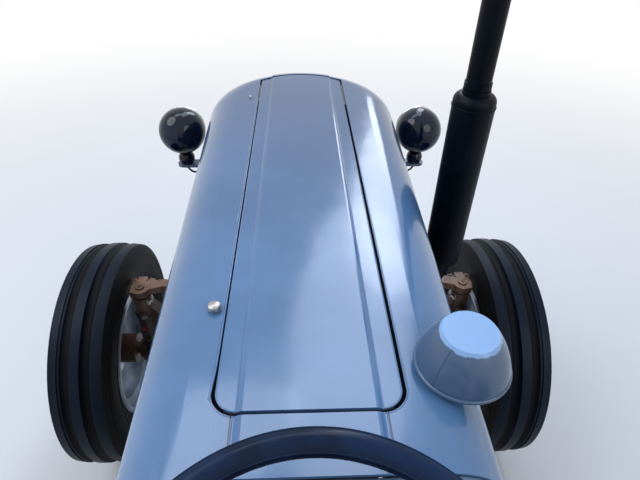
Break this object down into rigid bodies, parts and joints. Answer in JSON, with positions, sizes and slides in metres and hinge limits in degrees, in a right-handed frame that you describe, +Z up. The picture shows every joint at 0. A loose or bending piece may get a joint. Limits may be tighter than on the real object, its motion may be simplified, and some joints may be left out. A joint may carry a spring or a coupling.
{
  "type": "vintage farm tractor",
  "caption": "Small vintage farm tractor with an open engine, narrow hood with a lift-up panel, upright exhaust, steered front wheels, lugged rear wheels and a rear lifting linkage.",
  "frame": {"origin": "centre of the overall box, on the ground", "axes": "+X forward, +Y to the driver's left, +Z up"},
  "size_m": [3.0094, 1.5, 1.88],
  "materials": {
    "grey_paint": "gloss enamel on sheet steel",
    "bronze_paint": "satin enamel on cast iron",
    "black_paint": "black enamel",
    "silver_paint": "silver-grey enamel on pressed steel",
    "bare_iron": "bare, heat darkened",
    "bare_steel": "machined, oiled",
    "black_plastic": "polished black over a steel core",
    "tyre_rubber": "black tyre rubber",
    "lead_rubber": "black cable"
  },
  "bodies": {
    "chassis": {"engine": "bronze_paint", "manifold": "bare_iron", "exhaust": "black_paint", "air_cleaner": "grey_paint", "precleaner": "grey_paint", "fan": "black_paint", "radiator": "black_paint", "fuel_tank": "grey_paint", "front_support": "bronze_paint", "front_axle": "bronze_paint", "radius_rod_left": "bronze_paint", "radius_rod_right": "bronze_paint", "gearbox": "bronze_paint", "rear_axle": "bronze_paint", "lift_cover": "bronze_paint", "hood": "grey_paint", "grille": "grey_paint", "dash_panel": "grey_paint", "headlamp_left": "black_paint", "headlamp_right": "black_paint", "lamp_lead_left": "lead_rubber", "lamp_lead_right": "lead_rubber", "seat_spring": "black_paint", "seat": "grey_paint", "fender_left": "grey_paint", "fender_right": "grey_paint", "footrest_left": "bronze_paint", "footrest_right": "bronze_paint", "clutch_pedal": "bronze_paint", "brake_pedal": "bronze_paint", "steering_column": "bronze_paint"},
    "hood_panel": {"hood_panel": "grey_paint"},
    "steering_wheel": {"steering_wheel": "black_plastic"},
    "lift_arms": {"lift_arms": "bronze_paint"},
    "pto_shaft": {"pto_shaft": "bare_steel"},
    "drop_arm_left": {"drop_arm_left": "bronze_paint"},
    "drag_link_left": {"drag_link_left": "bronze_paint"},
    "knuckle_left": {"knuckle_left": "bronze_paint"},
    "front_wheel_left": {"front_wheel_left": "silver_paint", "front_tyre_left": "tyre_rubber"},
    "rear_wheel_left": {"rear_wheel_left": "silver_paint", "rear_tyre_left": "tyre_rubber"},
    "lift_rod_left": {"lift_rod_left": "bronze_paint"},
    "lower_link_left": {"lower_link_left": "bronze_paint"},
    "drop_arm_right": {"drop_arm_right": "bronze_paint"},
    "drag_link_right": {"drag_link_right": "bronze_paint"},
    "knuckle_right": {"knuckle_right": "bronze_paint"},
    "front_wheel_right": {"front_wheel_right": "silver_paint", "front_tyre_right": "tyre_rubber"},
    "rear_wheel_right": {"rear_wheel_right": "silver_paint", "rear_tyre_right": "tyre_rubber"},
    "lift_rod_right": {"lift_rod_right": "bronze_paint"},
    "lower_link_right": {"lower_link_right": "bronze_paint"}
  },
  "joints": [
    {"name": "rear_wheel_left_spin", "type": "hinge", "parent": "chassis", "child": "rear_wheel_left", "pos_m": [-0.73323, 0.61, 0.62], "axis": [0, 1, 0], "continuous": true},
    {"name": "rear_wheel_right_spin", "type": "hinge", "parent": "chassis", "child": "rear_wheel_right", "pos_m": [-0.73323, -0.61, 0.62], "axis": [0, 1, 0], "continuous": true},
    {"name": "steer_left", "type": "hinge", "parent": "chassis", "child": "knuckle_left", "pos_m": [1.09577, 0.5165, 0.3685], "axis": [0, 0, 1], "range_deg": [-35, 35]},
    {"name": "steer_right", "type": "hinge", "parent": "chassis", "child": "knuckle_right", "pos_m": [1.09577, -0.5165, 0.3685], "axis": [0, 0, 1], "range_deg": [-35, 35]},
    {"name": "front_wheel_left_spin", "type": "hinge", "parent": "knuckle_left", "child": "front_wheel_left", "pos_m": [1.09577, 0.64, 0.3685], "axis": [0, 1, 0], "continuous": true},
    {"name": "front_wheel_right_spin", "type": "hinge", "parent": "knuckle_right", "child": "front_wheel_right", "pos_m": [1.09577, -0.64, 0.3685], "axis": [0, 1, 0], "continuous": true},
    {"name": "steering_wheel_turn", "type": "hinge", "parent": "chassis", "child": "steering_wheel", "pos_m": [0.00076, 0, 1.252], "axis": [-0.309, 0, 0.9511], "range_deg": [-450, 450]},
    {"name": "drop_arm_left_swing", "type": "hinge", "parent": "chassis", "child": "drop_arm_left", "pos_m": [0.05577, 0.22, 0.88], "axis": [0, 1, 0], "range_deg": [-25, 25]},
    {"name": "drag_link_left_pivot", "type": "hinge", "parent": "knuckle_left", "child": "drag_link_left", "pos_m": [1.09577, 0.3765, 0.675], "axis": [0, 0, 1], "range_deg": [-40, 40]},
    {"name": "drop_arm_right_swing", "type": "hinge", "parent": "chassis", "child": "drop_arm_right", "pos_m": [0.05577, -0.22, 0.88], "axis": [0, 1, 0], "range_deg": [-25, 25]},
    {"name": "drag_link_right_pivot", "type": "hinge", "parent": "knuckle_right", "child": "drag_link_right", "pos_m": [1.09577, -0.3765, 0.675], "axis": [0, 0, 1], "range_deg": [-40, 40]},
    {"name": "hood_panel_open", "type": "hinge", "parent": "chassis", "child": "hood_panel", "pos_m": [1.36229, 0, 1.20008], "axis": [0, 1, 0], "range_deg": [0, 75]},
    {"name": "lift_arms_raise", "type": "hinge", "parent": "chassis", "child": "lift_arms", "pos_m": [-0.86323, 0, 0.85], "axis": [0, 1, 0], "range_deg": [0, 50]},
    {"name": "lower_link_left_swing", "type": "hinge", "parent": "chassis", "child": "lower_link_left", "pos_m": [-0.71323, 0.196, 0.4], "axis": [0, 1, 0], "range_deg": [0, 27.77]},
    {"name": "lift_rod_left_pivot", "type": "hinge", "parent": "lift_arms", "child": "lift_rod_left", "pos_m": [-1.07169, 0.232, 0.7528], "axis": [0, 1, 0], "range_deg": [-52, 2]},
    {"name": "lower_link_right_swing", "type": "hinge", "parent": "chassis", "child": "lower_link_right", "pos_m": [-0.71323, -0.196, 0.4], "axis": [0, 1, 0], "range_deg": [0, 27.77]},
    {"name": "lift_rod_right_pivot", "type": "hinge", "parent": "lift_arms", "child": "lift_rod_right", "pos_m": [-1.07169, -0.232, 0.7528], "axis": [0, 1, 0], "range_deg": [-52, 2]},
    {"name": "pto_turn", "type": "hinge", "parent": "chassis", "child": "pto_shaft", "pos_m": [-0.98323, 0, 0.52], "axis": [1, 0, 0], "continuous": true}
  ],
  "couplings": [
    {"joint": "drop_arm_left_swing", "follows": "steer_left", "ratio": -0.664},
    {"joint": "drag_link_left_pivot", "follows": "steer_left", "ratio": -1},
    {"joint": "drop_arm_right_swing", "follows": "steer_left", "ratio": 0.664},
    {"joint": "drag_link_right_pivot", "follows": "steer_left", "ratio": -1},
    {"joint": "steer_right", "follows": "steer_left", "ratio": 1},
    {"joint": "steering_wheel_turn", "follows": "steer_left", "ratio": 12.8},
    {"joint": "lower_link_left_swing", "follows": "lift_arms_raise", "ratio": 0.5353},
    {"joint": "lift_rod_left_pivot", "follows": "lift_arms_raise", "ratio": -1},
    {"joint": "lower_link_right_swing", "follows": "lift_arms_raise", "ratio": 0.5353},
    {"joint": "lift_rod_right_pivot", "follows": "lift_arms_raise", "ratio": -1}
  ]
}
